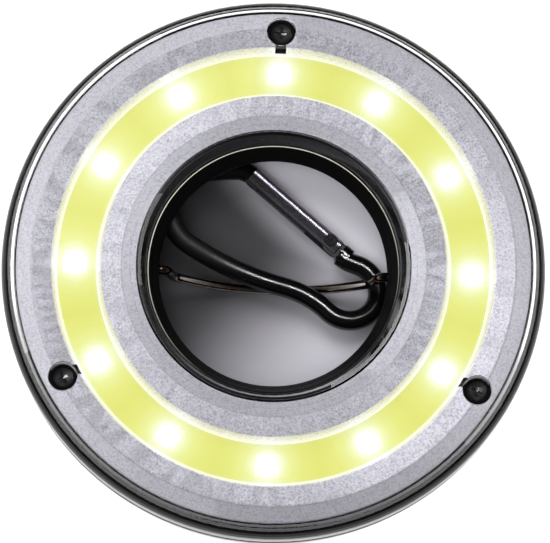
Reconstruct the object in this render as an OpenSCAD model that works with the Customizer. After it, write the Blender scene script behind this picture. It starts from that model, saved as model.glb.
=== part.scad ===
// Patio umbrella light: ring-shaped battery lamp with a wire bail and a carabiner.
// It lies on its back: the flat back is on z = 0 and the light face looks up (+Z).
// The origin is the centre of the back.

/* [Case] */
// Outer radius of the case
case_r = 65; // [64.8:0.1:65.4]
// Radius of the hole at its narrowest point
hole_r = 27.4; // [27.2:0.1:27.6]
// Height of the narrowest point of the hole, where the two shells meet
lip_z = 14.3; // [14.2:0.1:14.4]
// Height of the seam on the outer wall
seam_z = 13.6; // [13.2:0.1:13.8]
// Wall thickness of the shells
wall = 1.8; // [1.6:0.1:2.0]

/* [Light face] */
// Number of LEDs
led_n = 12; // [6:6:12]
// Radius of the circle of LEDs
led_r = 47.4; // [47.2:0.1:47.6]
// Edge length of an LED package
led_w = 5; // [4:0.5:5]
// Inner radius of the glowing channel
channel_in = 42.3; // [42.0:0.1:42.5]
// Outer radius of the glowing channel
channel_out = 51.8; // [51.6:0.1:52.0]
// Radius of the circle of the face screws
screw_r = 56.7; // [56.5:0.1:56.8]
// Radius of the wells round the face screws
well_r = 3.5; // [3.4:0.1:3.6]

/* [Battery bay] */
// Diameter of a battery cell
cell_d = 10.5; // [10.2:0.1:10.5]
// Length of a battery cell with its nub
cell_l = 44.5; // [44:0.1:44.5]
// Distance from the lamp axis to the axis of each cell
cell_a = 47.9; // [47.8:0.1:48.0]
// Height of the cell axis
cell_z = 7.75; // [7.7:0.05:7.8]

/* [Button] */
// Radius of the push button
button_r = 4.5; // [4.2:0.1:4.5]
// Distance from the lamp axis to the button
button_y = 48.4; // [48.3:0.1:48.5]

/* [Bail] */
// Wire diameter of the bail
bail_d = 2.3; // [2.1:0.1:2.3]
// Depth of the bail below its pivots
bail_depth = 13.1; // [12.9:0.1:13.1]
// Angle of the hanging bail from straight down
bail_tilt = 8.5; // [8:0.5:9]

/* [Carabiner] */
// Rod diameter
rod_d = 4.8; // [4.6:0.1:4.8]
// Length of the gate from its pivot to the nose
gate_l = 25; // [24.8:0.1:25.0]
// Direction of the gate, seen from above
gate_dir = 140.7; // [140:0.1:141]
// Roll of the carabiner where its spine lies over the bail
cara_roll = 12; // [11.8:0.1:12.2]

/* [Hidden] */
fine = 96;
lead_d = 1.4;
screw_angles = [90, 210, 330];
cell_angles = [210, 270, 330];
board_screw_angles = [45, 165, 285];
board_z = 17.3;
board_t = 1.6;
deck_z = 15.0;
deck_t = 1.4;
bay_in = cell_a - cell_d / 2 - 0.15;
bay_out = cell_a + cell_d / 2 + 0.25;
bay_clip = 58.3;
bay_top = 13.25;
door_grow = 0.3;
gate_z = rod_d / 2 + 0.23;
gate_pivot = [13.6, 9.93];
tongue_t = 2.0;
slot_t = 2.5;
nose_face = gate_l + 0.35;

// Bends of the carabiner rod from its nose round to its hinge: [radius, turn].
cara_bends = [[5, 42], [42, 12], [10.2, 133.5], [73, 20], [23, -30.5], [7.3, 209.5], [9, -26.5]];
// The bail: an arc across the bottom, then the same bends on both sides: [radius, turn],
// radius 0 is a straight.
bail_a1 = 36;
bail_a2 = 72;
bail_big = 39;
bail_mid = 4;
bail_top = 2.2;
bail_leg = (bail_depth - bail_big * (1 - cos(bail_a1)) - bail_mid * (cos(bail_a1) - cos(bail_a2))
    - bail_top * (1 - cos(bail_a2))) / sin(bail_a2);
bail_x = bail_big * sin(bail_a1) + bail_mid * (sin(bail_a2) - sin(bail_a1))
    + bail_leg * cos(bail_a2) + bail_top * sin(bail_a2);
bail_stub = 33.4;
bail_bends = [[bail_mid, bail_a2 - bail_a1], [0, bail_leg], [bail_top, -bail_a2], [0, bail_stub - bail_x]];

// ---- shared shapes ----

// Point beside the lamp axis: a outward along direction phi, t sideways.
function at(phi, a, t) = [a * cos(phi) - t * sin(phi), a * sin(phi) + t * cos(phi)];

// A straight bar between two points seen from above.
module bar(p, q, w, z0, z1) {
    d = q - p;
    translate([p[0], p[1], z0]) rotate([0, 0, atan2(d[1], d[0])])
        translate([-w / 2, -w / 2, 0]) cube([norm(d) + w, w, z1 - z0]);
}

// A round rod bent in its plane, starting along +X. Every second piece is thicker by a hair,
// and the others reach a little way into it.
module bent_rod(bends, d, i = 0, first = 0) {
    if (i < len(bends)) {
        r = bends[i][0];
        t = bends[i][1];
        thick = (i + first) % 2 == 1;
        dd = thick ? d + 0.06 : d;
        e0 = thick || (i == 0 && first == 0) ? 0 : 0.2;
        e1 = thick || i == len(bends) - 1 ? 0 : 0.2;
        if (r == 0) {
            translate([-e0, 0, 0]) rotate([0, 90, 0]) cylinder(h = t + e0 + e1, d = dd, $fn = 40);
            translate([t, 0, 0]) bent_rod(bends, d, i + 1, first);
        } else {
            a0 = e0 / r * 180 / PI;
            a1 = e1 / r * 180 / PI;
            if (t > 0) {
                translate([0, r, 0]) rotate([0, 0, -90 - a0])
                    rotate_extrude(angle = t + a0 + a1, $fn = fine) translate([r, 0]) circle(d = dd, $fn = 40);
                translate([r * sin(t), r * (1 - cos(t)), 0]) rotate([0, 0, t]) bent_rod(bends, d, i + 1, first);
            } else {
                translate([0, -r, 0]) rotate([0, 0, 90 + t - a1])
                    rotate_extrude(angle = a0 + a1 - t, $fn = fine) translate([r, 0]) circle(d = dd, $fn = 40);
                translate([-r * sin(t), -r * (1 - cos(t)), 0]) rotate([0, 0, t]) bent_rod(bends, d, i + 1, first);
            }
        }
    }
}

// Wire coil along +Z: radius r0 at the bottom and r1 at the top.
module coil(r0, r1, h, wire, turns, seg = 12, side = 6) {
    n = turns * seg;
    pts = [for (i = [0:n]) let (u = i / n, r = r0 + (r1 - r0) * u, a = 360 * turns * u)
        for (k = [0:side - 1]) let (b = 360 * k / side)
            [(r + wire / 2 * cos(b)) * cos(a), (r + wire / 2 * cos(b)) * sin(a),
             wire / 2 + (h - wire) * u + wire / 2 * sin(b)]];
    tube = [for (i = [0:n - 1]) for (k = [0:side - 1]) let (m = (k + 1) % side)
        [i * side + k, (i + 1) * side + k, (i + 1) * side + m, i * side + m]];
    cap0 = [[for (k = [0:side - 1]) k]];
    cap1 = [[for (k = [side - 1:-1:0]) n * side + k]];
    polyhedron(points = pts, faces = concat(tube, cap0, cap1), convexity = 6);
}

// Plan of the battery bay: three straight cell beds in a half ring, grown by g.
module bay_plan(g = 0) {
    a0 = (bay_in - g) / cos(30);
    a1 = (bay_out + g) / cos(30);
    intersection() {
        circle(r = bay_clip + g, $fn = fine);
        polygon(concat([for (p = [180:60:360]) a0 * [cos(p), sin(p)]],
            [for (p = [360:-60:180]) a1 * [cos(p), sin(p)]]));
    }
}

// Section of the outer wall of the back shell, from the flat back up to the seam.
outer_curve = [for (k = [0:8]) let (t = 90 * k / 8)
    [60 + (case_r - 0.1 - 60) * sin(t), seam_z * (1 - cos(t))]];
flare_sum = hole_r + lip_z + 0.7;
// Where the contact tabs pass the end walls of the bay.
tab_e = at(330, bay_in + 2.5, 24.65)[0];
tab_w = at(210, bay_in + 3.1, -25.3)[0];

module back_envelope() {
    rotate_extrude($fn = fine) polygon(concat(
        [[hole_r, lip_z], [hole_r, lip_z - 0.2], [flare_sum - 2.3, 2.3], [flare_sum - 1.9, 1.2], [flare_sum - 1.5, 0.35],
            [flare_sum - 1, 0]],
        outer_curve, [[case_r - wall - 0.1, seam_z], [case_r - wall - 0.1, lip_z]]));
}

module back_cavity() {
    s = flare_sum + 1.3 * wall;
    rotate_extrude($fn = fine) polygon([
        [s - lip_z - 0.1, lip_z + 0.1], [s - wall, wall], [59.8, wall], [61.4, 3.2], [62.2, 5.5],
        [62.8, 9], [case_r - wall - 0.3, seam_z], [case_r - wall - 0.3, lip_z + 0.1]]);
}

// ---- case ----

// Battery bay: its walls, and the room inside it with the recess of the door.
module bay_walls() {
    translate([0, 0, wall - 0.2]) linear_extrude(lip_z - wall + 0.2) difference() {
        union() {
            bay_plan(1.1);
            translate([bay_in - 0.7, -1]) square([bay_clip - bay_in + 2.3, 2.3]);
            translate([-bay_clip - 1.6, -1]) square([bay_clip - bay_in + 2.3, 2.3]);
        }
        circle(r = 38.5, $fn = fine);
    }
}

module bay_room() {
    translate([0, 0, -1]) linear_extrude(bay_top + 1) bay_plan(0);
    translate([0, 0, -1]) linear_extrude(1 + 2.1) intersection() {
        bay_plan(door_grow + 0.2);
        translate([-70, -70]) square([140, 69.9]);
    }
}

module back_housing() color([0.04, 0.04, 0.045]) difference() {
    union() {
        difference() {
            union() {
                difference() {
                    back_envelope();
                    back_cavity();
                }
                bay_walls();
            }
            union() {
                bay_room();
                // slits for the contact tabs
                translate([tab_e - 0.55, -0.6, 5.6]) cube([1.1, 2.2, 3.8]);
                translate([tab_w - 0.55, -0.6, 5.6]) cube([1.1, 2.2, 3.8]);
            }
        }
        // screw posts
        for (a = screw_angles) rotate(a) translate([screw_r, 0, wall - 0.3])
            cylinder(h = deck_z - wall + 0.2, r = 2.8, $fn = 48);
        // sockets of the bail
        intersection() {
            back_envelope();
            union() for (m = [0, 180]) rotate(m)
                translate([hole_r - 1, -3.2, 8]) cube([bail_stub - hole_r + 2.4, 6.4, lip_z - 8]);
        }
        // ribs beside and below the switch
        for (s = [-1, 1]) translate([s * 6.9 - 0.7, button_y - 3.5, wall - 0.2]) cube([1.4, 3.9, 9]);
        for (s = [-1, 1]) translate([s * 5.6 - 0.6, button_y - 5.4, wall - 0.2]) cube([1.2, 1.2, 4.38]);
    }
    // button hole
    translate([0, button_y, -1]) cylinder(h = 4, r = button_r + 0.2, $fn = 64);
    // pilot holes of the face screws
    for (a = screw_angles) rotate(a) translate([screw_r, 0, 3.6]) cylinder(h = 20, r = 1.3, $fn = 32);
    // half bores of the bail pivots
    for (m = [0, 180]) rotate(m) translate([hole_r - 2, 0, lip_z]) rotate([0, 90, 0])
        cylinder(h = bail_stub - hole_r + 2.3, r = bail_d / 2 + 0.08, $fn = 40);
}

module front_frame() color([0.05, 0.05, 0.055]) difference() {
    union() {
        rotate_extrude($fn = fine) polygon([
            [hole_r, lip_z], [hole_r, lip_z + 0.6], [hole_r + 0.9, 16.9], [hole_r + 1.1, 17.0],
            [hole_r + 1.1, 17.5], [hole_r + 2.2, 20.2], [31.3, 20.2], [31.3, 20.5], [32.7, 24.2],
            [34.2, 24.2], [34.2, 22.6], [33.0, deck_z + deck_t], [61.6, deck_z + deck_t], [61.6, 22.1],
            [63.6, 22.1], [63.6, 22.6], [64.0, 22.9], [case_r - 0.5, 22.3], [case_r - 0.1, 21.3],
            [case_r, 20.2], [case_r, 16.5], [case_r - 0.2, seam_z + 0.4], [case_r - 0.6, seam_z + 0.2],
            [case_r - 0.9, seam_z + 0.05], [case_r - wall, seam_z + 0.05], [case_r - wall, deck_z],
            [30.2, deck_z], [30.2, lip_z]]);
        // screw bosses
        for (a = screw_angles) rotate(a) translate([screw_r, 0, deck_z + deck_t - 0.2])
            cylinder(h = 24.4 - deck_z - deck_t + 0.2, r = 3.2, $fn = 48);
        // board posts
        for (a = board_screw_angles) rotate(a) translate([55.4, 0, deck_z + deck_t - 0.2])
            cylinder(h = board_z - deck_z - deck_t + 0.2, r = 2.2, $fn = 40);
        // upper halves of the bail sockets
        for (m = [0, 180]) rotate(m)
            translate([30, -3.2, lip_z]) cube([bail_stub - hole_r - 0.2, 6.4, 2.5]);
    }
    for (a = screw_angles) rotate(a) translate([screw_r, 0, 0]) {
        translate([0, 0, 10]) cylinder(h = 20, r = 1.35, $fn = 32);
        translate([0, 0, 23.1]) cylinder(h = 3, r = 2.6, $fn = 40);
    }
    for (a = board_screw_angles) rotate(a) translate([55.4, 0, deck_z - 1]) cylinder(h = 5, r = 0.95, $fn = 24);
    // wire holes in the deck
    for (a = [110, 140]) rotate(a) translate([a == 110 ? 50.8 : 52.1, 0, 10]) cylinder(h = 8, r = 1.2, $fn = 32);
    for (m = [0, 180]) rotate(m) translate([hole_r - 2, 0, lip_z]) rotate([0, 90, 0])
        cylinder(h = bail_stub - hole_r + 2.3, r = bail_d / 2 + 0.08, $fn = 40);
}

module lens_cover() color([0.85, 0.9, 0.92, 0.35]) difference() {
    rotate_extrude($fn = fine) polygon([
        [30.05, 20.4], [31.6, 26.2], [32.4, 26.75], [36.3, 27.4], [57.7, 27.4], [61.6, 25.7],
        [62.8, 24.9], [63.4, 23.7], [63.4, 22.3], [62.3, 22.3], [62.3, 23.5], [61.7, 24.3],
        [57.5, 26.3], [36.5, 26.3], [32.9, 25.7], [32.5, 25.3], [31.15, 20.4]]);
    for (a = screw_angles) rotate(a) translate([screw_r, 0, 20]) cylinder(h = 10, r = well_r, $fn = 48);
}

// ---- light ----

module reflector() color([0.8, 0.8, 0.83]) difference() {
    rotate_extrude($fn = fine) polygon([
        [33.0, 24.7], [32.8, 25.1], [36.4, 25.95], [channel_in - 1.2, 25.95], [channel_in, 20.3],
        [channel_out, 20.3], [channel_out + 1.1, 25.95], [57.6, 25.95], [61.2, 24.3], [61.2, 23.5],
        [60.4, 23.5], [57.4, 25.05], [channel_out + 1.8, 25.05], [channel_out + 0.8, 19.5],
        [channel_in - 0.8, 19.5], [channel_in - 1.9, 25.05], [36.5, 25.05], [33.3, 24.4]]);
    // LED windows
    for (k = [0:led_n - 1]) rotate(90 + 360 * k / led_n) translate([led_r, 0, 18])
        linear_extrude(4) square(led_w + 0.8, center = true);
    // keyhole notches at the screws
    for (a = screw_angles) rotate(a) {
        translate([screw_r, 0, 18]) cylinder(h = 12, r = well_r, $fn = 48);
        translate([channel_out - 0.6, -1.3, 21.9]) cube([3.6, 2.6, 8]);
    }
}

module glow_ring() color([0.85, 0.92, 0.35]) difference() {
    translate([0, 0, 20.35]) rotate_extrude($fn = fine)
        translate([channel_in + 0.1, 0]) square([channel_out - channel_in - 0.2, 1.1]);
    for (k = [0:led_n - 1]) rotate(90 + 360 * k / led_n) translate([led_r, 0, 18])
        linear_extrude(6) square(led_w + 0.4, center = true);
}

module leds() color([1, 1, 0.9]) for (k = [0:led_n - 1])
    rotate(90 + 360 * k / led_n) translate([led_r, 0, board_z + board_t]) {
        translate([-led_w / 2, -led_w / 2, 0]) cube([led_w, led_w, 1.7]);
        translate([0, 0, 1.6]) cylinder(h = 0.3, r = 1.8, $fn = 32);
    }

module led_board() color([0.93, 0.94, 0.9]) difference() {
    translate([0, 0, board_z]) rotate_extrude($fn = fine)
        translate([38.5, 0]) square([58.2 - 38.5, board_t]);
    for (a = screw_angles) rotate(a) translate([screw_r, 0, 10]) cylinder(h = 10, r = 3.6, $fn = 40);
    for (a = board_screw_angles) rotate(a) translate([55.4, 0, 10]) cylinder(h = 10, r = 1.05, $fn = 24);
}

module resistors() color([0.1, 0.1, 0.1]) for (a = [15, 105, 195, 255])
    rotate(a) translate([55.4 - 0.8, -1.6, board_z + board_t]) cube([1.6, 3.2, 0.6]);

module board_screws() color([0.7, 0.7, 0.72]) for (a = board_screw_angles)
    rotate(a) translate([55.4, 0, 0]) difference() {
        union() {
            translate([0, 0, board_z + board_t]) cylinder(h = 1.3, r = 1.8, $fn = 40);
            translate([0, 0, deck_z + 0.1]) cylinder(h = board_z + board_t - deck_z + 0.3, r = 0.9, $fn = 24);
        }
        for (b = [0, 90]) translate([0, 0, board_z + board_t + 1]) rotate(b)
            translate([-1.1, -0.25, -0.2]) cube([2.2, 0.5, 1]);
    }

module face_screws() color([0.12, 0.12, 0.13]) for (a = screw_angles)
    rotate(a) translate([screw_r, 0, 0]) difference() {
        union() {
            translate([0, 0, 23.12]) cylinder(h = 0.9, r = 2.45, $fn = 48);
            translate([0, 0, 24.02]) intersection() {
                cylinder(h = 0.9, r = 2.45, $fn = 48);
                translate([0, 0, -3.9]) sphere(r = 4.6, $fn = 64);
            }
            translate([0, 0, 4.2]) cylinder(h = 19.2, r = 1.25, $fn = 32);
        }
        for (b = [0, 90]) translate([0, 0, 24.1]) rotate(b) translate([-1.5, -0.35, 0]) cube([3, 0.7, 2]);
    }

// ---- batteries and contacts ----

module battery_cells() for (phi = cell_angles) rotate(phi) translate([cell_a, 0, cell_z])
    rotate([-90, 0, 0]) {
        color([0.15, 0.45, 0.3]) translate([0, 0, 2 - cell_l / 2]) cylinder(h = cell_l - 0.9, d = cell_d, $fn = 64);
        color([0.75, 0.75, 0.72]) translate([0, 0, 2 + cell_l / 2 - 1]) cylinder(h = 1, d = 3.8, $fn = 40);
    }

module cell_contacts() color([0.8, 0.78, 0.72]) {
    for (phi = cell_angles) rotate(phi) {
        translate([bay_in + 2.3, 2 + cell_l / 2 + 0.2, 3.4]) cube([7, 0.4, 8.6]);
        translate([bay_in + 2.9, -25.5, 3.4]) cube([6.4, 0.4, 8.6]);
    }
    // series links between neighbouring cells
    for (phi = [210, 270])
        bar(at(phi, bay_in + 9.2, 24.65), at(phi + 60, bay_in + 9.2, -25.3), 0.4, 6, 9.5);
    // tabs through the end walls
    bar(at(330, bay_in + 2.5, 24.65), [tab_e, 3.2], 0.4, 6, 9);
    bar(at(210, bay_in + 3.1, -25.3), [tab_w, 3.2], 0.4, 6, 9);
}

module cell_springs() color([0.8, 0.78, 0.72]) for (phi = cell_angles)
    rotate(phi) translate([cell_a, -25.08, cell_z]) rotate([-90, 0, 0])
        coil(3.3, 1.9, 4.75, 0.6, 5);

module battery_door() color([0.05, 0.05, 0.055]) difference() {
    union() {
        translate([0, 0, 0.25]) linear_extrude(1.75) intersection() {
            bay_plan(door_grow);
            translate([-70, -70]) square([140, 69.7]);
        }
        // guide tabs inside the bay
        for (phi = cell_angles) rotate(phi) for (t = [-12, 12])
            translate([bay_out - 0.95, t - 2, 1.9]) cube([0.8, 4, 1.7]);
    }
    // thumb notch and grip grooves
    translate([0, -bay_out - 0.2, -1.6]) rotate([0, 90, 0]) translate([0, 0, -6]) cylinder(h = 12, r = 2.6, $fn = 48);
    for (k = [0:3]) translate([-6, -cell_a + 1.5 * k - 1, -0.3]) cube([12, 0.6, 0.85]);
}

// ---- switch ----

module push_button() color([0.08, 0.08, 0.085]) translate([0, button_y, 0]) difference() {
    union() {
        translate([0, 0, 0.5]) cylinder(h = 2.3, r = button_r, $fn = 64);
        translate([0, 0, 2.0]) cylinder(h = 0.8, r = button_r + 0.8, $fn = 64);
        translate([0, 0, 2.6]) cylinder(h = 3.0, r = 1.5, $fn = 40);
    }
    // finger dish
    translate([0, 0, -9.3]) sphere(r = 10.2, $fn = 96);
}

module button_spring() color([0.8, 0.8, 0.8]) translate([0, button_y, 2.82]) coil(3.0, 3.0, 3.16, 0.5, 3);

module switch_body() color([0.15, 0.15, 0.16]) translate([0, button_y, 6]) difference() {
    union() {
        translate([-5.5, -4.5, 0]) cube([11, 9, 5.5]);
        // terminals
        translate([5.4, 1.8, 1.1]) cube([3.3, 0.8, 0.8]);
        translate([-7.3, 1.43, 1.1]) cube([1.9, 0.8, 0.8]);
    }
    translate([0, 0, -1]) cylinder(h = 3, r = 1.7, $fn = 40);
}

// ---- internal wires ----

module lead_positive() color([0.7, 0.1, 0.08]) {
    translate([0, 0, 7.5]) rotate(3.9) rotate_extrude(angle = 76.0, $fn = fine) translate([51.4, 0]) circle(d = lead_d, $fn = 24);
}

module lead_switch() color([0.7, 0.1, 0.08]) {
    translate([0, 0, 7.5]) rotate(98.6) rotate_extrude(angle = 11.4, $fn = fine) translate([50.8, 0]) circle(d = lead_d, $fn = 24);
    rotate(110) translate([50.8, 0, 7.5]) {
        sphere(d = lead_d + 0.04, $fn = 32);
        cylinder(h = board_z - 7.6, d = lead_d, $fn = 24);
    }
}

module lead_negative() color([0.08, 0.08, 0.08]) {
    translate([0, 0, 7.5]) rotate(140) rotate_extrude(angle = 36.0, $fn = fine) translate([52.1, 0]) circle(d = lead_d, $fn = 24);
    rotate(140) translate([52.1, 0, 7.5]) {
        sphere(d = lead_d + 0.04, $fn = 32);
        cylinder(h = board_z - 7.6, d = lead_d, $fn = 24);
    }
}

// ---- bail ----

module bail_wire() color([0.85, 0.85, 0.87]) translate([0, 0, lip_z]) rotate([-bail_tilt, 0, 0]) {
    e = 0.2 / bail_big * 180 / PI;
    translate([0, 0, bail_big - bail_depth]) rotate([90, 0, 0]) rotate([0, 0, -90 - bail_a1 - e])
        rotate_extrude(angle = 2 * (bail_a1 + e), $fn = fine) translate([bail_big, 0]) circle(d = bail_d, $fn = 40);
    for (m = [0, 180]) rotate(m)
        translate([bail_big * sin(bail_a1), 0, bail_big * (1 - cos(bail_a1)) - bail_depth])
            rotate([90, 0, 0]) rotate([0, 0, bail_a1]) bent_rod(bail_bends, bail_d, first = 1);
}

// ---- carabiner ----

// Puts a shape drawn in the carabiner's own frame (pivot at the origin, gate along +X,
// spine towards +Y) where the carabiner lies.
module laid() translate([gate_pivot[0], gate_pivot[1], gate_z]) rotate([0, 0, gate_dir]) rotate([cara_roll, 0, 0]) children();

module carabiner_body() color([0.03, 0.03, 0.035]) laid() difference() {
    union() {
        translate([nose_face - 0.01, 0, 0]) bent_rod(cara_bends, rod_d);
        // tongue in the nose end of the gate
        translate([gate_l - 3.1, -1.9, -tongue_t / 2]) cube([3.6, 3.8, tongue_t]);
        // shoulder behind the hinge
        translate([-6.0, 0, 0]) rotate([0, 90, 0]) cylinder(h = 2.35, r = rod_d / 2 + 0.05, $fn = 48);
        // hinge tongue
        translate([-4, -1.9, -tongue_t / 2]) cube([4, 3.8, tongue_t]);
        translate([0, 0, -tongue_t / 2]) cylinder(h = tongue_t, r = 1.9, $fn = 48);
    }
    translate([0, 0, -5]) cylinder(h = 10, r = 1.03, $fn = 40);
}

module carabiner_gate() color([0.7, 0.7, 0.73]) laid() difference() {
    translate([-2.6, 0, 0]) rotate([0, 90, 0]) cylinder(h = gate_l + 2.6, d = rod_d, $fn = 48);
    // fork at the hinge, with its longer opening on the inner side
    translate([-5, -5, -slot_t / 2]) cube([7.5, 10, slot_t]);
    translate([0, 0.9, -slot_t / 2]) cube([6.2, 5, slot_t]);
    // fork at the nose
    translate([gate_l - 3.6, -5, -slot_t / 2]) cube([6, 10, slot_t]);
    // spring bore
    translate([1, 0, 0]) rotate([0, 90, 0]) cylinder(h = 13, r = 1.45, $fn = 40);
    // rivet bore and head seats
    translate([0, 0, -5]) cylinder(h = 10, r = 1.05, $fn = 40);
    translate([0, 0, 1.95]) cylinder(h = 4, r = 1.65, $fn = 48);
    translate([0, 0, -5.7]) cylinder(h = 4, r = 1.65, $fn = 48);
}

module gate_rivet() color([0.6, 0.6, 0.62]) laid() {
    translate([0, 0, -1.9]) cylinder(h = 4.0, r = 1.0, $fn = 40);
    translate([0, 0, 2.0]) cylinder(h = 0.55, r = 1.55, $fn = 48);
    translate([0, 0, -2.25]) cylinder(h = 0.5, r = 1.5, $fn = 48);
}

module gate_spring() color([0.75, 0.75, 0.75]) laid()
    translate([4.35, 0, 0]) rotate([0, 90, 0]) coil(1.1, 1.1, 9.5, 0.4, 9);

module gate_plunger() color([0.6, 0.6, 0.6]) laid()
    translate([2.0, 0, 0]) rotate([0, 90, 0]) cylinder(h = 2.3, r = 1.3, $fn = 40);

back_housing();
front_frame();
lens_cover();
reflector();
glow_ring();
leds();
led_board();
resistors();
board_screws();
face_screws();
battery_cells();
cell_contacts();
cell_springs();
battery_door();
push_button();
button_spring();
switch_body();
lead_positive();
lead_switch();
lead_negative();
bail_wire();
carabiner_body();
carabiner_gate();
gate_rivet();
gate_spring();
gate_plunger();
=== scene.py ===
import math

import bmesh
import bpy
from mathutils import Matrix, Vector

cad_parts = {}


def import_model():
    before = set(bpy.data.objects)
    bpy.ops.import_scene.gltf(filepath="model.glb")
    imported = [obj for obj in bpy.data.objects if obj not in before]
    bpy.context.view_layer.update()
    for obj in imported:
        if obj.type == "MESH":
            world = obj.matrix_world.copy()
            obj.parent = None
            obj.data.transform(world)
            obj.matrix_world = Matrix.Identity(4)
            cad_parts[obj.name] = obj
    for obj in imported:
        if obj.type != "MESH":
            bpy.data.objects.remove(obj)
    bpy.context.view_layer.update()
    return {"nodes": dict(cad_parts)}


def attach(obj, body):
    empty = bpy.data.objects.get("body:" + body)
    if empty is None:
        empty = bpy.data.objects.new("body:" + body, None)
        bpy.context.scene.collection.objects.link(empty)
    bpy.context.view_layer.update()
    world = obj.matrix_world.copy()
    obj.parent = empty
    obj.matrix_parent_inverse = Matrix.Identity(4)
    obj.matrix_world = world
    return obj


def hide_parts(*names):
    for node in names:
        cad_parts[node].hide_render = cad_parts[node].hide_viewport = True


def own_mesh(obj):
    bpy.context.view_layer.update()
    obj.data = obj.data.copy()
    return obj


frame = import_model()
NODE = frame["nodes"]
MM = 0.001
scene = bpy.context.scene

# ------------------------------------------------------------------ camera
# The photograph is taken from above, ten degrees off the vertical.
W, H = 550, 543
AZ, EL, ROLL = math.radians(-3.705), math.radians(80.544), math.radians(5.608)
AIM = Vector((0.447, 0.416, 15.0)) * MM
DIST, FOCAL_PX = 1230 * MM, 5124.5

view_dir = Vector((math.sin(AZ) * math.cos(EL), -math.cos(AZ) * math.cos(EL), math.sin(EL)))
right0 = Vector((math.cos(AZ), math.sin(AZ), 0.0))
up0 = view_dir.cross(right0)
right = math.cos(ROLL) * right0 + math.sin(ROLL) * up0
up = -math.sin(ROLL) * right0 + math.cos(ROLL) * up0

cam_data = bpy.data.cameras.new("camera")
cam = bpy.data.objects.new("camera", cam_data)
scene.collection.objects.link(cam)
cam.matrix_world = Matrix((
    (right.x, up.x, view_dir.x, (AIM + DIST * view_dir).x),
    (right.y, up.y, view_dir.y, (AIM + DIST * view_dir).y),
    (right.z, up.z, view_dir.z, (AIM + DIST * view_dir).z),
    (0, 0, 0, 1)))
cam_data.sensor_fit = "HORIZONTAL"
cam_data.sensor_width = 36.0
cam_data.lens = 36.0 * FOCAL_PX / W
cam_data.clip_start = 0.05
cam_data.clip_end = 20.0
scene.camera = cam
scene.view_settings.view_transform = "Standard"
scene.view_settings.look = "None"
scene.view_settings.exposure = 0.0


# ------------------------------------------------------------------ node helpers
class Mat:
    """A short way to build a node material."""

    def __init__(self, name):
        self.m = bpy.data.materials.new(name)
        self.m.use_nodes = True
        self.t = self.m.node_tree
        self.t.nodes.clear()
        self.out = self.t.nodes.new("ShaderNodeOutputMaterial")
        self.coord = self.t.nodes.new("ShaderNodeTexCoord").outputs["Object"]

    def node(self, kind, **values):
        n = self.t.nodes.new(kind)
        for k, v in values.items():
            setattr(n, k, v)
        return n

    def put(self, socket, value):
        if isinstance(value, bpy.types.NodeSocket):
            self.t.links.new(value, socket)
        elif value is not None:
            socket.default_value = value

    def math(self, op, a, b=None, c=None, clamp=False):
        n = self.node("ShaderNodeMath", operation=op, use_clamp=clamp)
        self.put(n.inputs[0], a)
        if b is not None:
            self.put(n.inputs[1], b)
        if c is not None:
            self.put(n.inputs[2], c)
        return n.outputs[0]

    def noise(self, scale, detail=2.0, rough=0.5, vec=None, distortion=0.0):
        n = self.node("ShaderNodeTexNoise")
        self.put(n.inputs["Vector"], vec or self.coord)
        n.inputs["Scale"].default_value = scale
        n.inputs["Detail"].default_value = detail
        n.inputs["Roughness"].default_value = rough
        n.inputs["Distortion"].default_value = distortion
        return n.outputs["Fac"]

    def voronoi(self, scale, feature="F1", vec=None, out="Distance"):
        n = self.node("ShaderNodeTexVoronoi", feature=feature)
        self.put(n.inputs["Vector"], vec or self.coord)
        n.inputs["Scale"].default_value = scale
        return n.outputs[out]

    def stretch(self, scale):
        n = self.node("ShaderNodeMapping")
        self.put(n.inputs["Vector"], self.coord)
        n.inputs["Scale"].default_value = scale
        return n.outputs[0]

    def ramp(self, fac, stops, interp="LINEAR"):
        n = self.node("ShaderNodeValToRGB")
        n.color_ramp.interpolation = interp
        e = n.color_ramp.elements
        while len(e) < len(stops):
            e.new(0.5)
        for k, (pos, col) in enumerate(stops):
            e[k].position = pos
            e[k].color = (*col, 1.0) if len(col) == 3 else col
        self.put(n.inputs[0], fac)
        return n.outputs[0]

    def remap(self, v, a, b, c, d):
        n = self.node("ShaderNodeMapRange")
        for k, x in enumerate((v, a, b, c, d)):
            self.put(n.inputs[k], x)
        return n.outputs[0]

    def mix(self, fac, a, b, mode="MIX"):
        n = self.node("ShaderNodeMix", data_type="RGBA", blend_type=mode)
        self.put(n.inputs[0], fac)
        self.put(n.inputs[6], a if isinstance(a, bpy.types.NodeSocket) else (*a, 1.0))
        self.put(n.inputs[7], b if isinstance(b, bpy.types.NodeSocket) else (*b, 1.0))
        return n.outputs[2]

    def bump(self, height, strength, distance, normal=None):
        n = self.node("ShaderNodeBump")
        n.inputs["Strength"].default_value = strength
        n.inputs["Distance"].default_value = distance
        self.put(n.inputs["Height"], height)
        if normal is not None:
            self.put(n.inputs["Normal"], normal)
        return n.outputs[0]

    def shader(self, **inputs):
        n = self.node("ShaderNodeBsdfPrincipled")
        for k, v in inputs.items():
            k = k.replace("_", " ")
            if isinstance(v, tuple) and len(v) == 3:
                v = (*v, 1.0)
            self.put(n.inputs[k], v)
        return n

    def done(self, shader):
        self.t.links.new(shader if isinstance(shader, bpy.types.NodeSocket) else shader.outputs[0], self.out.inputs[0])
        return self.m


def speckled(m, scale, lo, hi):
    return m.remap(m.noise(scale, 3.0, 0.6), 0.3, 0.7, lo, hi)


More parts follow.
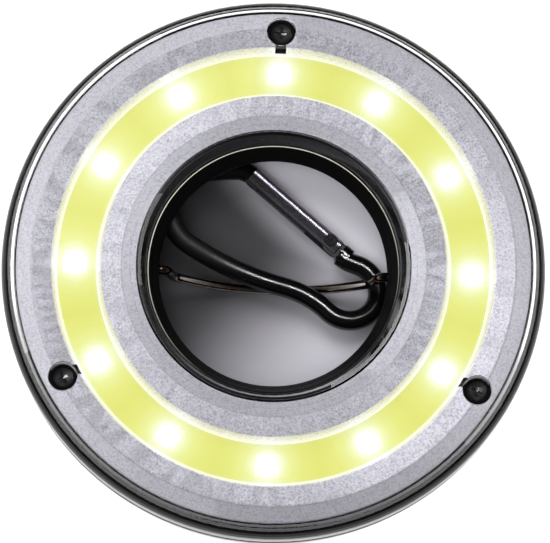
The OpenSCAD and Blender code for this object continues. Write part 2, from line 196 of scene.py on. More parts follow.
# ------------------------------------------------------------------ materials
def black_plastic(name, base=0.004, rough=0.16, grain=0.25, scale=2600, ledge_highlight_and_matt_wall=False):
    """Injection-moulded black plastic: glossy, with faint orange peel, dust and hairline scratches."""
    m = Mat(name)
    fine = m.noise(scale, 3.0, 0.55)
    wave = m.noise(160, 2.0, 0.5)
    scratch = m.noise(900, 2.0, 0.6, vec=m.stretch((1.0, 0.05, 0.3)))
    scratch = m.ramp(scratch, [(0.60, (0, 0, 0)), (0.72, (1, 1, 1))])
    dust = m.ramp(m.voronoi(700), [(0.02, (1, 1, 1)), (0.06, (0, 0, 0))])
    col = m.mix(m.noise(90, 3.0, 0.6), (base * 0.75, base * 0.75, base * 0.82), (base * 1.35, base * 1.35, base * 1.45))
    col = m.mix(m.math("MULTIPLY", dust, 0.05), col, (0.25, 0.25, 0.25))
    r = m.math("ADD", m.remap(wave, 0.3, 0.7, rough * 0.75, rough * 1.25), m.math("MULTIPLY", scratch, 0.07))
    r = m.math("ADD", r, m.math("MULTIPLY", dust, 0.2), clamp=True)
    n = m.bump(fine, grain * 0.22, 0.00002)
    n = m.bump(wave, 0.10, 0.0003, n)
    if ledge_highlight_and_matt_wall:
        # The thin ledge below the lens carries a painted highlight line, brightest on the side where the light falls on
        # it.
        xyz = m.node("ShaderNodeSeparateXYZ")
        m.put(xyz.inputs[0], m.coord)
        away = m.math("SQRT", m.math("ADD", m.math("MULTIPLY", xyz.outputs[0], xyz.outputs[0]),
                                     m.math("MULTIPLY", xyz.outputs[1], xyz.outputs[1])))
        line = m.math("MULTIPLY", m.math("GREATER_THAN", away, 0.02988), m.math("LESS_THAN", away, 0.03006))
        line = m.math("MULTIPLY", line, m.math("LESS_THAN", m.math("ABSOLUTE", m.math("SUBTRACT", xyz.outputs[2], 0.0202)), 0.0004))
        tone = m.math("ADD", xyz.outputs[1], m.math("MULTIPLY", xyz.outputs[0], -0.35))
        line = m.math("MULTIPLY", line, m.remap(tone, -0.020, 0.022, 0.03, 1.0))
        col = m.mix(line, col, (0.95, 0.92, 0.78))
    gloss = m.shader(Base_Color=col, Roughness=r, Normal=n, Coat_Weight=0.05, Coat_Roughness=0.08,
                     Specular_IOR_Level=0.26)
    if not ledge_highlight_and_matt_wall:
        return m.done(gloss)
    # The wall of the hole is left matt from the mould, and is darker than the polished front.
    matt = m.shader(Base_Color=col, Roughness=m.remap(fine, 0.3, 0.7, 0.55, 0.70), Normal=n, Specular_IOR_Level=0.04)
    wall = m.math("MULTIPLY", m.math("LESS_THAN", away, 0.0313), m.math("LESS_THAN", xyz.outputs[2], 0.0262))
    both = m.node("ShaderNodeMixShader")
    m.put(both.inputs[0], m.math("MULTIPLY", wall, 0.86))
    m.t.links.new(gloss.outputs[0], both.inputs[1])
    m.t.links.new(matt.outputs[0], both.inputs[2])
    return m.done(both)


def screw_black():
    """Black screw heads with a shallow turned cone, round each of the three screw axes."""
    m = Mat("screw_black")
    sep = m.node("ShaderNodeSeparateXYZ")
    m.put(sep.inputs[0], m.coord)
    a = m.math("DIVIDE", m.math("SUBTRACT", m.math("ARCTAN2", sep.outputs[1], sep.outputs[0]), math.radians(90)),
               math.radians(120))
    c = m.math("ADD", m.math("MULTIPLY", m.math("ROUND", a), math.radians(120)), math.radians(90))
    centre = m.node("ShaderNodeCombineXYZ")
    m.put(centre.inputs[0], m.math("MULTIPLY", m.math("COSINE", c), 0.0567))
    m.put(centre.inputs[1], m.math("MULTIPLY", m.math("SINE", c), 0.0567))
    off = m.node("ShaderNodeVectorMath", operation="SUBTRACT")
    m.put(off.inputs[0], m.coord)
    m.put(off.inputs[1], centre.outputs[0])
    flat = m.node("ShaderNodeVectorMath", operation="MULTIPLY")
    m.put(flat.inputs[0], off.outputs[0])
    flat.inputs[1].default_value = (1, 1, 0)
    radial = m.node("ShaderNodeVectorMath", operation="NORMALIZE")
    m.put(radial.inputs[0], flat.outputs[0])
    push = m.node("ShaderNodeVectorMath", operation="SCALE")
    m.put(push.inputs[0], radial.outputs[0])
    push.inputs["Scale"].default_value = 0.40
    geo = m.node("ShaderNodeNewGeometry")
    total = m.node("ShaderNodeVectorMath", operation="ADD")
    m.put(total.inputs[0], geo.outputs["Normal"])
    m.put(total.inputs[1], push.outputs[0])
    unit = m.node("ShaderNodeVectorMath", operation="NORMALIZE")
    m.put(unit.inputs[0], total.outputs[0])
    grain = m.noise(3800, 3.0, 0.6)
    n = m.bump(grain, 0.10, 0.00003, unit.outputs[0])
    col = m.mix(m.noise(900, 3.0), (0.004, 0.004, 0.0045), (0.010, 0.010, 0.011))
    return m.done(m.shader(Base_Color=col, Roughness=m.remap(grain, 0.3, 0.7, 0.34, 0.42), Normal=n,
                           Specular_IOR_Level=1.0))


def satin_black(name, base=0.02, rough=0.42, bump=0.5):
    m = Mat(name)
    g = m.voronoi(3200)
    n = m.bump(m.math("ADD", g, m.noise(5200, 2.0)), bump * 0.35, 0.00003)
    col = m.mix(m.noise(300, 4.0, 0.6), (base * 0.8,) * 3, (base * 1.4,) * 3)
    return m.done(m.shader(Base_Color=col, Roughness=speckled(m, 900, rough * 0.85, rough * 1.2), Normal=n))


def silver_face():
    """Vacuum-metallised plastic with a sparkling grain about a quarter of a millimetre across."""
    m = Mat("silver_face")
    grain = m.voronoi(3000, out="Color")
    sep = m.node("ShaderNodeSeparateColor")
    m.put(sep.inputs[0], grain)
    cell = sep.outputs[0]
    fine = m.noise(7000, 1.0, 0.5)
    cloud = m.noise(70, 2.0, 0.5)
    spark = m.math("MULTIPLY", m.math("ADD", cell, fine), 0.5)
    col = m.ramp(spark, [(0.16, (0.30, 0.295, 0.32)), (0.42, (0.62, 0.615, 0.645)), (0.68, (0.76, 0.755, 0.78)),
                         (0.86, (0.95, 0.95, 0.96))])
    col = m.mix(m.math("MULTIPLY", cloud, 0.14), col, (0.56, 0.555, 0.58))
    reach = m.node("ShaderNodeVectorMath", operation="LENGTH")
    flat0 = m.node("ShaderNodeVectorMath", operation="MULTIPLY")
    m.put(flat0.inputs[0], m.coord)
    flat0.inputs[1].default_value = (1, 1, 0)
    m.put(reach.inputs[0], flat0.outputs[0])
    bevel = m.math("ADD", m.math("GREATER_THAN", reach.outputs["Value"], 0.05765), m.math("LESS_THAN", reach.outputs["Value"], 0.03638))
    # Painted highlight: the bevels are painted brighter than the flats, for the light they catch.
    painted_bevel_highlight = m.ramp(spark, [(0.18, (0.70, 0.695, 0.72)), (0.45, (0.93, 0.925, 0.95)), (0.80, (1.0, 1.0, 1.0))])
    col = m.mix(m.math("MULTIPLY", bevel, 0.72), col, painted_bevel_highlight)
    col = m.mix(1.0, col, (1.0, 0.972, 1.03), "MULTIPLY")
    # Thin dark lines painted where the flats meet the bevels, and half-way down the bevels: painted shade along the
    # edges.
    for at, wide, dark in ((57.65, 0.13, 0.30), (61.0, 0.10, 0.20), (36.38, 0.13, 0.28), (34.3, 0.10, 0.18)):
        gap = m.math("ABSOLUTE", m.math("SUBTRACT", reach.outputs["Value"], at * 0.001))
        line = m.remap(gap, wide * 0.0006, wide * 0.0014, dark, 0.0)
        col = m.mix(line, col, (0.22, 0.215, 0.24))
    # The keyhole notches are black inside.
    xyz = m.node("ShaderNodeSeparateXYZ")
    m.put(xyz.inputs[0], m.coord)
    turn = m.math("DIVIDE", m.math("SUBTRACT", m.math("ARCTAN2", xyz.outputs[1], xyz.outputs[0]), math.radians(90)),
                  math.radians(120))
    turn = m.math("MULTIPLY", m.math("SUBTRACT", turn, m.math("ROUND", turn)), math.radians(120))
    away = m.math("SQRT", m.math("ADD", m.math("MULTIPLY", xyz.outputs[0], xyz.outputs[0]),
                                 m.math("MULTIPLY", xyz.outputs[1], xyz.outputs[1])))
    side = m.math("ABSOLUTE", m.math("MULTIPLY", away, m.math("SINE", turn)))
    inside = m.math("MULTIPLY", m.math("LESS_THAN", side, 0.00132), m.math("GREATER_THAN", away, 0.0523))
    inside = m.math("MULTIPLY", inside, m.math("LESS_THAN", away, 0.0600))
    inside = m.math("MULTIPLY", inside, m.math("LESS_THAN", m.math("ABSOLUTE", m.math("SUBTRACT", xyz.outputs[2], 0.0225)), 0.0030))
    col = m.mix(inside, col, (0.006, 0.006, 0.006))
    # The flats are very slightly domed across their width.
    flat = m.node("ShaderNodeVectorMath", operation="MULTIPLY")
    m.put(flat.inputs[0], m.coord)
    flat.inputs[1].default_value = (1, 1, 0)
    size = m.node("ShaderNodeVectorMath", operation="LENGTH")
    m.put(size.inputs[0], flat.outputs[0])
    outwards = m.node("ShaderNodeVectorMath", operation="NORMALIZE")
    m.put(outwards.inputs[0], flat.outputs[0])
    lean = m.remap(size.outputs["Value"], 0.0465, 0.0485, -0.10, 0.10)
    push = m.node("ShaderNodeVectorMath", operation="SCALE")
    m.put(push.inputs[0], outwards.outputs[0])
    m.put(push.inputs["Scale"], lean)
    geo = m.node("ShaderNodeNewGeometry")
    total = m.node("ShaderNodeVectorMath", operation="ADD")
    m.put(total.inputs[0], geo.outputs["Normal"])
    m.put(total.inputs[1], push.outputs[0])
    unit = m.node("ShaderNodeVectorMath", operation="NORMALIZE")
    m.put(unit.inputs[0], total.outputs[0])
    n = m.bump(m.math("ADD", cell, m.math("MULTIPLY", fine, 0.6)), 0.12, 0.00004, unit.outputs[0])
    r = m.remap(m.math("ADD", m.math("MULTIPLY", cell, 0.4), cloud), 0.3, 1.0, 0.31, 0.41)
    # The channel walls get a painted glow, standing in for the light of the LEDs falling on them.
    off_ring = m.math("ABSOLUTE", m.math("SUBTRACT", size.outputs["Value"], 0.04708))
    wall = m.math("MULTIPLY", m.math("GREATER_THAN", off_ring, 0.0044), m.math("LESS_THAN", off_ring, 0.00598))
    wall = m.math("MULTIPLY", wall, m.math("SUBTRACT", 1.0, inside))
    depth = m.remap(xyz.outputs[2], 0.0203, 0.02595, 0.62, 0.22)
    metal = m.math("SUBTRACT", 0.42, m.math("MULTIPLY", bevel, 0.22))
    return m.done(m.shader(Base_Color=col, Metallic=metal, Roughness=r, Normal=n, Specular_IOR_Level=0.5,
                           Emission_Color=(0.94, 0.93, 0.93), Emission_Strength=m.math("MULTIPLY", wall, depth)))


def lens_plastic():
    """Clear moulded plastic. Lamps shine straight through it, and it mirrors and bends what is seen."""
    m = Mat("lens_clear")
    wave = m.noise(45, 2.0, 0.5)
    n = m.bump(wave, 0.05, 0.0006)
    r = m.remap(m.noise(500, 4.0, 0.6), 0.35, 0.7, 0.012, 0.035)
    glass = m.shader(Base_Color=(0.975, 0.98, 0.985), Roughness=r, IOR=1.5, Transmission_Weight=1.0, Normal=n)
    clear = m.node("ShaderNodeBsdfTransparent")
    clear.inputs[0].default_value = (0.93, 0.94, 0.945, 1.0)
    path = m.node("ShaderNodeLightPath")
    mix = m.node("ShaderNodeMixShader")
    m.put(mix.inputs[0], path.outputs["Is Shadow Ray"])
    m.t.links.new(glass.outputs[0], mix.inputs[1])
    m.t.links.new(clear.outputs[0], mix.inputs[2])
    return m.done(mix)


def led_distance(m, radius):
    """Distance in millimetres, seen from the front, to the nearest of the twelve LEDs."""
    sep = m.node("ShaderNodeSeparateXYZ")
    m.put(sep.inputs[0], m.coord)
    x, y = sep.outputs[0], sep.outputs[1]
    r = m.math("MULTIPLY", m.math("SQRT", m.math("ADD", m.math("MULTIPLY", x, x), m.math("MULTIPLY", y, y))), 1000.0)
    a = m.math("DIVIDE", m.math("ARCTAN2", y, x), math.radians(30))
    a = m.math("MULTIPLY", m.math("SUBTRACT", a, m.math("ROUND", a)), math.radians(30))
    dx = m.math("SUBTRACT", m.math("MULTIPLY", r, m.math("COSINE", a)), radius)
    dy = m.math("MULTIPLY", r, m.math("SINE", a))
    d = m.math("SQRT", m.math("ADD", m.math("MULTIPLY", dx, dx), m.math("MULTIPLY", dy, dy)))
    return d, r, dx


GLOW = [(0.0, (3.0, 3.0, 2.8)), (0.12, (2.2, 2.2, 1.9)), (0.19, (1.15, 1.2, 0.98)), (0.29, (0.95, 0.98, 0.60)),
        (0.40, (0.88, 0.90, 0.37)), (0.60, (0.83, 0.83, 0.25)), (1.0, (0.77, 0.77, 0.19))]


def glow_face():
    """The yellow-green ring with a painted glow for the LED light in it: palest round each LED, deepest half-way
    between two.
    """
    m = Mat("glow_face")
    d, r, dx = led_distance(m, 47.4)
    cloud = m.noise(220, 3.0, 0.55)
    col = m.ramp(m.math("DIVIDE", m.math("ADD", d, m.math("MULTIPLY", m.math("SUBTRACT", cloud, 0.5), 0.8)), 14.0),
                 GLOW)
    edge = m.ramp(m.math("DIVIDE", m.math("ABSOLUTE", m.math("SUBTRACT", r, 47.05)), 5.0),
                  [(0.0, (1, 1, 1)), (0.78, (1.0, 1.0, 1.0)), (0.93, (0.98, 1.02, 1.5)), (1.0, (0.8, 0.8, 1.1))])
    col = m.mix(1.0, col, edge, "MULTIPLY")
    n = m.bump(m.noise(2400, 2.0), 0.15, 0.00004)
    rough = m.remap(cloud, 0.3, 0.7, 0.30, 0.42)
    return m.done(m.shader(Base_Color=m.mix(cloud, (0.10, 0.12, 0.02), (0.13, 0.15, 0.03)), Roughness=rough, Normal=n,
                           Emission_Color=col, Emission_Strength=0.95))


def led_face():
    m = Mat("led_lit")
    speck = m.voronoi(2600)
    d, r, dx = led_distance(m, 47.4)
    col = m.ramp(m.math("DIVIDE", m.math("ADD", d, m.math("MULTIPLY", m.math("SUBTRACT", speck, 0.4), 0.3)), 14.0), GLOW)
    n = m.bump(speck, 0.2, 0.00004)
    r = m.remap(m.noise(1500), 0.3, 0.7, 0.25, 0.4)
    return m.done(m.shader(Base_Color=m.mix(speck, (0.11, 0.13, 0.03), (0.14, 0.16, 0.05)), Roughness=r, Normal=n,
                           Emission_Color=col, Emission_Strength=0.96))


def board_face():
    """White circuit board, with a painted glow round each LED for the light that falls on it."""
    m = Mat("board_white")
    d, r, dx = led_distance(m, 47.4)
    g = m.noise(1400, 4.0, 0.6)
    return m.done(m.shader(Base_Color=m.mix(m.noise(420, 4.0, 0.6), (0.70, 0.71, 0.68), (0.80, 0.81, 0.78)),
                           Roughness=m.remap(g, 0.3, 0.7, 0.28, 0.42), Normal=m.bump(g, 0.1, 0.00004),
                           Emission_Color=(1.0, 1.0, 0.85), Emission_Strength=m.remap(d, 3.4, 4.2, 1.1, 0.0)))


def chrome_wire():
    m = Mat("chrome_wire")
    draw = m.noise(1800, 3.0, 0.6, vec=m.stretch((0.06, 1.0, 1.0)))
    spots = m.ramp(m.voronoi(900), [(0.03, (1, 1, 1)), (0.10, (0, 0, 0))])
    col = m.mix(m.noise(140, 3.0, 0.5), (0.42, 0.38, 0.34), (0.66, 0.61, 0.56))
    col = m.mix(m.math("MULTIPLY", spots, 0.25), col, (0.30, 0.24, 0.18))
    xyz = m.node("ShaderNodeSeparateXYZ")
    m.put(xyz.inputs[0], m.coord)
    # Painted shade: the wire darkens to near black towards its ends, where they go in under the rim.
    ends = m.remap(m.math("ABSOLUTE", xyz.outputs[0]), 0.0215, 0.0250, 0.0, 0.94)
    col = m.mix(ends, col, (0.012, 0.011, 0.011))
    warm = m.ramp(m.noise(260, 2.0, 0.5, vec=m.stretch((1.0, 0.2, 0.2))), [(0.45, (0, 0, 0)), (0.62, (1, 1, 1))])
    col = m.mix(m.math("MULTIPLY", warm, 0.70), col, (0.40, 0.22, 0.13))
    r = m.math("ADD", m.remap(draw, 0.3, 0.7, 0.05, 0.14), m.math("MULTIPLY", spots, 0.15))
    n = m.bump(draw, 0.10, 0.00002)
    return m.done(m.shader(Base_Color=col, Metallic=1.0, Roughness=r, Normal=n))


def gate_steel():
    """Polished tube with a fine grain along its length and a lavender cast."""
    m = Mat("gate_steel")
    a = math.radians(140.7)
    rot = m.node("ShaderNodeMapping")
    rot.vector_type = "POINT"
    m.put(rot.inputs["Vector"], m.coord)
    rot.inputs["Rotation"].default_value = (0, 0, -a)
    lengthways = m.node("ShaderNodeMapping")
    m.put(lengthways.inputs["Vector"], rot.outputs[0])
    lengthways.inputs["Scale"].default_value = (0.035, 1.0, 1.0)
    line = m.noise(3600, 3.0, 0.65, vec=lengthways.outputs[0])
    spots = m.ramp(m.voronoi(1300), [(0.04, (1, 1, 1)), (0.12, (0, 0, 0))])
    col = m.mix(m.noise(240, 3.0, 0.55), (0.21, 0.20, 0.225), (0.29, 0.28, 0.31))
    col = m.mix(m.math("MULTIPLY", spots, 0.2), col, (0.12, 0.11, 0.12))
    r = m.math("ADD", m.remap(line, 0.3, 0.7, 0.19, 0.30), m.math("MULTIPLY", spots, 0.1))
    n = m.bump(line, 0.18, 0.00003)
    return m.done(m.shader(Base_Color=col, Metallic=0.93, Roughness=r, Normal=n))


def black_rod():
    """Anodised rod with a glossy black coat."""
    m = Mat("black_rod")
    peel = m.noise(900, 2.0, 0.5)
    wear = m.ramp(m.noise(420, 5.0, 0.62), [(0.66, (0, 0, 0)), (0.78, (1, 1, 1))])
    col = m.mix(m.noise(200, 3.0), (0.0015, 0.0015, 0.0016), (0.003, 0.003, 0.0033))
    col = m.mix(m.math("MULTIPLY", wear, 0.06), col, (0.03, 0.03, 0.033))
    r = m.math("ADD", m.remap(peel, 0.3, 0.7, 0.13, 0.2), m.math("MULTIPLY", wear, 0.12))
    # The coat is duller on the half with the big loop.
    xyz = m.node("ShaderNodeSeparateXYZ")
    m.put(xyz.inputs[0], m.coord)
    r = m.math("ADD", r, m.remap(xyz.outputs[0], -0.017, -0.003, 0.38, 0.0))
    n = m.bump(peel, 0.05, 0.00006)
    n = m.bump(m.noise(4200, 2.0), 0.06, 0.00002, n)
    return m.done(m.shader(Base_Color=col, Roughness=r, Normal=n))


def steel(name, base=(0.55, 0.55, 0.57), rough=0.28, scale=1800):
    m = Mat(name)
    g = m.noise(scale, 4.0, 0.6)
    col = m.mix(m.noise(400, 4.0, 0.6), tuple(0.85 * c for c in base), tuple(min(1.12 * c, 1) for c in base))
    return m.done(m.shader(Base_Color=col, Metallic=1.0, Roughness=m.remap(g, 0.3, 0.7, rough * 0.75, rough * 1.25),
                           Normal=m.bump(g, 0.15, 0.00003)))


def coated(name, lo, hi, rough=0.4, scale=900, bump=0.2):
    m = Mat(name)
    g = m.noise(scale, 4.0, 0.6)
    return m.done(m.shader(Base_Color=m.mix(m.noise(scale * 0.3, 4.0, 0.6), lo, hi),
                           Roughness=m.remap(g, 0.3, 0.7, rough * 0.8, rough * 1.2), Normal=m.bump(g, bump, 0.00004)))


M_SHELL = black_plastic("black_shell", ledge_highlight_and_matt_wall=True)
M_BACK = black_plastic("black_back", base=0.006, rough=0.30, grain=0.7, scale=3200)
M_SILVER = silver_face()
M_LENS = lens_plastic()
M_GLOW = glow_face()
M_LED = led_face()
M_CHROME = chrome_wire()
M_GATE = gate_steel()
M_ROD = black_rod()
M_SCREW = screw_black()
M_BUTTON = satin_black("button_rubber", base=0.03, rough=0.5, bump=0.6)
M_DOOR = black_plastic("door_plastic", base=0.008, rough=0.34, grain=0.9, scale=3600)
M_STEEL = steel("zinc_steel")
M_RIVET = steel("rivet_steel", base=(0.055, 0.053, 0.058), rough=0.30)
M_SPRING = steel("spring_steel", base=(0.60, 0.60, 0.61), rough=0.2)
M_CONTACT = steel("nickel", base=(0.72, 0.69, 0.63), rough=0.2)
M_BOARD = board_face()
M_CHIP = coated("chip_black", (0.015, 0.015, 0.016), (0.035, 0.035, 0.036), 0.5, 2400)
M_CELL = coated("cell_jacket", (0.05, 0.16, 0.10), (0.08, 0.22, 0.14), 0.25, 500, 0.05)
M_RED = coated("lead_red", (0.42, 0.03, 0.025), (0.52, 0.05, 0.04), 0.4, 1600, 0.1)
M_BLACKWIRE = coated("lead_black", (0.012, 0.012, 0.012), (0.03, 0.03, 0.03), 0.4, 1600, 0.1)


def dress(node, material):
    o = NODE[node]
    for s in o.material_slots:
        s.material = material


for names, material in (
    (("back_housing",), M_BACK), (("front_frame",), M_SHELL), (("lens_cover",), M_LENS),
    (("reflector",), M_SILVER), (("glow_ring",), M_GLOW), (("leds",), M_LED), (("led_board",), M_BOARD),
    (("resistors", "switch_body"), M_CHIP), (("board_screws",), M_STEEL), (("face_screws",), M_SCREW),
    (("battery_cells",), M_CELL), (("cell_contacts", "cell_springs"), M_CONTACT), (("battery_door",), M_DOOR),
    (("push_button",), M_BUTTON), (("button_spring", "gate_spring"), M_SPRING), (("lead_positive", "lead_switch"), M_RED),
    (("lead_negative",), M_BLACKWIRE), (("bail_wire",), M_CHROME), (("carabiner_body",), M_ROD),
    (("carabiner_gate",), M_GATE), (("gate_rivet", "gate_plunger"), M_RIVET),
):
    for n in names:
        dress(n, material)


# ------------------------------------------------------------------ new pieces
def bail_path():
    """Half of the bail from its lowest point to its end: a wide arc, a tight bend, a leg and the pivot stub."""
    big, mid, top, a1, a2, depth, stub = 39.0, 4.0, 2.2, math.radians(36), math.radians(72), 13.1, 33.4
    leg = (depth - big * (1 - math.cos(a1)) - mid * (math.cos(a1) - math.cos(a2)) - top * (1 - math.cos(a2))) / math.sin(a2)
    x, h, turn = 0.0, -depth, 0.0
    out = [(x, h, turn)]
    for radius, angle, length in ((big, a1, 0), (mid, a2 - a1, 0), (0, 0, leg), (top, -a2, 0), (0, 0, None)):
        if radius:
            n = max(8, int(abs(math.degrees(angle)) / 1.5))
            s = 1 if angle > 0 else -1
            cx, ch = x - s * radius * math.sin(turn), h + s * radius * math.cos(turn)
            for k in range(1, n + 1):
                t = turn + angle * k / n
                out.append((cx + s * radius * math.sin(t), ch - s * radius * math.cos(t), t))
            x, h, turn = out[-1]
        else:
            d = length if length is not None else stub - x
            for k in (1, 2, 3, 4):
                out.append((x + d * k / 4 * math.cos(turn), h + d * k / 4 * math.sin(turn), turn))
            x, h, turn = out[-1]
    return out


def tube(name, points, normals, side, radius, around_n, material):
    """A round tube along points; normals lie in the plane of the path and side is square to it."""
    bm = bmesh.new()
    rings = []
    last = len(points) - 1
    for i, (p, n) in enumerate(zip(points, normals)):
        k = 0.86 if i in (0, last) else 1.0
        rings.append([bm.verts.new(p + (n * math.cos(2 * math.pi * j / around_n) + side * math.sin(2 * math.pi * j / around_n)) * radius * k)
                      for j in range(around_n)])
    for a, b in zip(rings, rings[1:]):
        for j in range(around_n):
            bm.faces.new((a[j], a[(j + 1) % around_n], b[(j + 1) % around_n], b[j]))
    bm.faces.new(rings[0][::-1])
    bm.faces.new(rings[-1])
    bmesh.ops.recalc_face_normals(bm, faces=bm.faces)
    me = bpy.data.meshes.new(name)
    bm.to_mesh(me)
    bm.free()
    for f in me.polygons:
        f.use_smooth = len(f.vertices) == 4
    me.materials.append(material)
    o = bpy.data.objects.new(name, me)
    scene.collection.objects.link(o)
    return o


def make_bail():
    half = bail_path()
    whole = [(-x, h, -t) for x, h, t in half[:0:-1]] + half
    tilt = math.radians(8.5)
    across = Vector((0, math.sin(tilt), math.cos(tilt)))
    side = Vector((1, 0, 0)).cross(across)
    points = [Vector((x, 0, 0)) * MM + across * h * MM + Vector((0, 0, 14.3)) * MM for x, h, t in whole]
    normals = [Vector((-math.sin(t), 0, 0)) + across * math.cos(t) for x, h, t in whole]
    o = tube("bail_smooth", points, normals, side, 1.15 * MM, 32, M_CHROME)
    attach(o, "bail")
    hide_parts("bail_wire")
    return o


BAIL = make_bail()


def make_button_spring():
    """The return spring of the button, a fixed coil whose top end rests on the switch."""
    turns, per, radius, low, high = 3, 40, 3.0, 3.08, 5.72
    points, normals = [], []
    for k in range(turns * per + 1):
        a = 2 * math.pi * k / per
        out = Vector((math.cos(a), math.sin(a), 0))
        points.append((out * radius + Vector((0, 48.4, low + (high - low) * k / (turns * per)))) * MM)
        normals.append(out)
    o = tube("button_spring_coil", points, normals, Vector((0, 0, 1)), 0.25 * MM, 14, M_SPRING)
    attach(o, "lamp")
    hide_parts("button_spring")
    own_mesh(o)
    return o


SPRING = make_button_spring()

# ------------------------------------------------------------------ stage
def floor_material():
    m = Mat("floor_pale")
    tone = m.noise(9, 3.0, 0.5)
    far = m.node("ShaderNodeVectorMath", operation="LENGTH")
    m.put(far.inputs[0], m.coord)
    far = m.remap(far.outputs["Value"], 0.0630, 0.0640, 0.0, 1.0)
    # Under the lamp the table is painted with soft shade, darkest off to one side.
    xyz = m.node("ShaderNodeSeparateXYZ")
    m.put(xyz.inputs[0], m.coord)
    px = m.math("MULTIPLY", m.math("ADD", xyz.outputs[0], 0.009), 707.1)
    py = m.math("MULTIPLY", m.math("SUBTRACT", xyz.outputs[1], 0.009), 707.1)
    su = m.node("ShaderNodeMapRange", interpolation_type="SMOOTHSTEP")
    sv = m.node("ShaderNodeMapRange", interpolation_type="SMOOTHSTEP")
    for n, value, lo, hi, top in ((su, m.math("ADD", px, py), 4.2, 24.0, 0.77), (sv, m.math("SUBTRACT", px, py), 3.5, 38.0, 0.56)):
        for k, x in enumerate((value, lo, hi, 0.0, top)):
            m.put(n.inputs[k], x)
    grey = m.math("ADD", m.math("SMOOTH_MAX", su.outputs[0], sv.outputs[0], 0.07), 0.036)
    grey = m.math("MULTIPLY", grey, m.remap(tone, 0.3, 0.7, 0.82, 0.87))
    # Painted shadow of the small loop of the hook on the table beside it.
    dx, dy = m.math("SUBTRACT", xyz.outputs[0], 0.0225), m.math("ADD", xyz.outputs[1], 0.0060)
    beside = m.math("SQRT", m.math("ADD", m.math("MULTIPLY", dx, dx), m.math("MULTIPLY", dy, dy)))
    shade = m.node("ShaderNodeMapRange", interpolation_type="SMOOTHSTEP")
    for k, x in enumerate((beside, 0.002, 0.0125, 0.50, 1.0)):
        m.put(shade.inputs[k], x)
    grey = m.math("MULTIPLY", grey, shade.outputs[0])
    tint = m.node("ShaderNodeCombineColor")
    m.put(tint.inputs[0], m.math("MULTIPLY", grey, 1.0))
    m.put(tint.inputs[1], m.math("MULTIPLY", grey, 0.975))
    m.put(tint.inputs[2], m.math("MULTIPLY", grey, 1.07))
    near = tint.outputs[0]
    col = m.mix(far, near, (0.25, 0.25, 0.25))
    face = m.shader(Base_Color=col, Roughness=m.remap(m.noise(300), 0.3, 0.7, 0.38, 0.46),
                    Normal=m.bump(m.noise(2500, 2.0), 0.04, 0.00005),
                    Emission_Color=(1.0, 1.0, 1.0), Emission_Strength=m.math("MULTIPLY", far, 0.95))
    clear = m.node("ShaderNodeBsdfTransparent")
    geo = m.node("ShaderNodeNewGeometry")
    mix = m.node("ShaderNodeMixShader")
    reach = m.node("ShaderNodeVectorMath", operation="LENGTH")
    m.put(reach.inputs[0], m.coord)
    foot = m.math("MULTIPLY", m.math("GREATER_THAN", reach.outputs["Value"], 0.0440),
                  m.math("LESS_THAN", reach.outputs["Value"], 0.0600))
    m.put(mix.inputs[0], m.math("MAXIMUM", geo.outputs["Backfacing"], foot))
    m.t.links.new(face.outputs[0], mix.inputs[1])
    m.t.links.new(clear.outputs[0], mix.inputs[2])
    return m.done(mix)


def make_floor():
    bm = bmesh.new()
    bmesh.ops.create_circle(bm, cap_ends=True, segments=96, radius=3.0)
    for f in bm.faces:
        if f.normal.z < 0:
            f.normal_flip()
    bmesh.ops.translate(bm, verts=bm.verts, vec=(0, 0, -0.00002))
    me = bpy.data.meshes.new("floor")
    bm.to_mesh(me)
    bm.free()
    o = bpy.data.objects.new("floor", me)
    scene.collection.objects.link(o)
    me.materials.append(floor_material())


make_floor()


def world():
    w = bpy.data.worlds.new("studio")
    scene.world = w
    w.use_nodes = True
    t = w.node_tree
    t.nodes.clear()
    out = t.nodes.new("ShaderNodeOutputWorld")
    bg = t.nodes.new("ShaderNodeBackground")
    tc = t.nodes.new("ShaderNodeTexCoord")
    sep = t.nodes.new("ShaderNodeSeparateXYZ")
    ramp = t.nodes.new("ShaderNodeValToRGB")
    t.links.new(tc.outputs["Generated"], sep.inputs[0])
    half = t.nodes.new("ShaderNodeMath")
    half.operation = "MULTIPLY_ADD"
    t.links.new(sep.outputs[2], half.inputs[0])
    half.inputs[1].default_value = 0.5
    half.inputs[2].default_value = 0.5
    t.links.new(half.outputs[0], ramp.inputs[0])
    e = ramp.color_ramp.elements
    stops = [(0.0, 1.3), (0.44, 1.1), (0.50, 0.30), (0.64, 0.27), (0.76, 0.09), (0.90, 0.03), (1.0, 0.025)]
    while len(e) < len(stops):
        e.new(0.5)
    for k, (p, v) in enumerate(stops):
        e[k].position = p
        e[k].color = (v, v, v * 1.02, 1)
    side = t.nodes.new("ShaderNodeMath")
    side.operation = "MULTIPLY"
    t.links.new(sep.outputs[0], side.inputs[0])
    t.links.new(sep.outputs[0], side.inputs[1])
    lean = t.nodes.new("ShaderNodeMapRange")
    t.links.new(sep.outputs[0], lean.inputs[0])
    for k, x in ((1, -1.0), (2, 1.0), (3, 5.5), (4, 2.2)):
        lean.inputs[k].default_value = x
    gain = t.nodes.new("ShaderNodeMath")
    gain.operation = "MULTIPLY_ADD"
    t.links.new(side.outputs[0], gain.inputs[0])
    t.links.new(lean.outputs[0], gain.inputs[1])
    gain.inputs[2].default_value = 0.55
    mul = t.nodes.new("ShaderNodeVectorMath")
    mul.operation = "SCALE"
    t.links.new(ramp.outputs[0], mul.inputs[0])
    t.links.new(gain.outputs[0], mul.inputs["Scale"])
    t.links.new(mul.outputs[0], bg.inputs[0])
    bg.inputs[1].default_value = 1.0
    t.links.new(bg.outputs[0], out.inputs[0])


world()


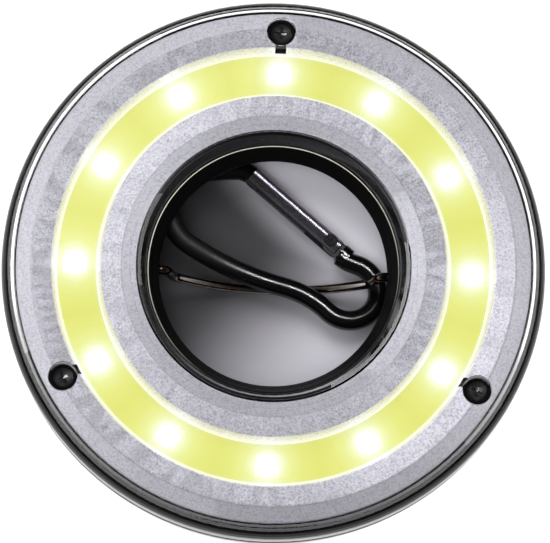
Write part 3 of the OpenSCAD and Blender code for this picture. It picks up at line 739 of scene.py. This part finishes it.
def area(name, radiance, size, place, aim=(0, 0, 0.01), color=(1, 1, 1), glossy=True, diffuse=True, only=(), free=False,
         sharp=False):
    """A rectangular soft light of the given radiance that faces aim. The pieces named in only are the ones it lights."""
    data = bpy.data.lights.new(name, "AREA")
    data.shape = "RECTANGLE"
    data.size, data.size_y = size
    data.energy = radiance * math.pi * size[0] * size[1]
    data.color = color
    o = bpy.data.objects.new(name, data)
    scene.collection.objects.link(o)
    o.location = Vector(place)
    o.rotation_euler = (o.location - Vector(aim)).to_track_quat("Z", "Y").to_euler()
    o.visible_glossy = glossy
    o.visible_diffuse = diffuse
    o.visible_transmission = glossy and diffuse
    if only:
        group = bpy.data.collections.new(name + "_on")
        for piece in only:
            group.objects.link(piece)
        o.light_linking.receiver_collection = group
        data.cycles.use_multiple_importance_sampling = sharp
        if free:
            o.light_linking.blocker_collection = group
    return o


def around(az, el, dist):
    """A place at azimuth az (0 is -Y, 90 is +X) and elevation el, seen from the lamp."""
    a, e = math.radians(az), math.radians(el)
    return (dist * math.sin(a) * math.cos(e), -dist * math.cos(a) * math.cos(e), dist * math.sin(e))


SILVER = (NODE["reflector"],)
CLEAR = (NODE["lens_cover"],)
SCREWS = (NODE["face_screws"],)
METAL = (NODE["carabiner_gate"], NODE["gate_rivet"])
ROD = (NODE["carabiner_body"],)
area("key", 7.1, (0.9, 0.8), around(192, 58, 1.4), glossy=False)
area("fill", 4.9, (0.9, 0.9), around(330, 70, 1.4), glossy=False)
area("card_left", 3.8, (0.50, 0.60), (-0.36, 0.08, 1.22), aim=(-0.36, 0.08, 0), diffuse=False, only=SILVER)
area("card_right", 3.8, (0.50, 0.60), (0.38, 0.04, 1.22), aim=(0.38, 0.04, 0), diffuse=False, only=SILVER)
area("card_low_left", 2.2, (1.2, 0.5), around(272, 42, 1.2), diffuse=False, only=SILVER)
area("card_low_right", 1.6, (1.0, 0.5), around(85, 42, 1.2), diffuse=False, only=SILVER)
area("patch", 0.8, (0.14, 0.15), (-0.07, 0.27, 1.22), aim=(-0.07, 0.27, 0), diffuse=False, only=CLEAR, sharp=True)
area("rim_left", 5.0, (1.9, 0.32), around(242, 22, 1.2), diffuse=False, only=CLEAR, sharp=True)
area("rim_right", 2.4, (1.1, 0.30), around(84, 22, 1.2), diffuse=False, only=CLEAR, sharp=True)
area("warm", 9.0, (0.35, 0.16), around(197, 20, 1.1), diffuse=False, only=(NODE["front_frame"],), color=(1.0, 0.62, 0.32))
area("gate_card", 8.0, (0.5, 0.35), around(141, 36, 1.2), diffuse=False, only=METAL, color=(1.0, 0.96, 1.04), free=True)
area("screw_card", 34.0, (0.36, 0.5), around(122, 48, 1.2), diffuse=False, only=SCREWS, free=True)
area("streak", 19.0, (0.26, 0.40), around(148, 71, 1.2), diffuse=False, only=ROD)
area("wire_streak", 4.0, (0.13, 0.32), around(150, 74, 1.2), diffuse=False, only=(BAIL,))
BACK = tuple(NODE[n] for n in ("back_housing", "battery_door", "push_button", "battery_cells", "cell_contacts",
                               "cell_springs")) + (SPRING,)
area("under", 20.0, (0.9, 0.7), around(40, -48, 1.3), only=BACK)
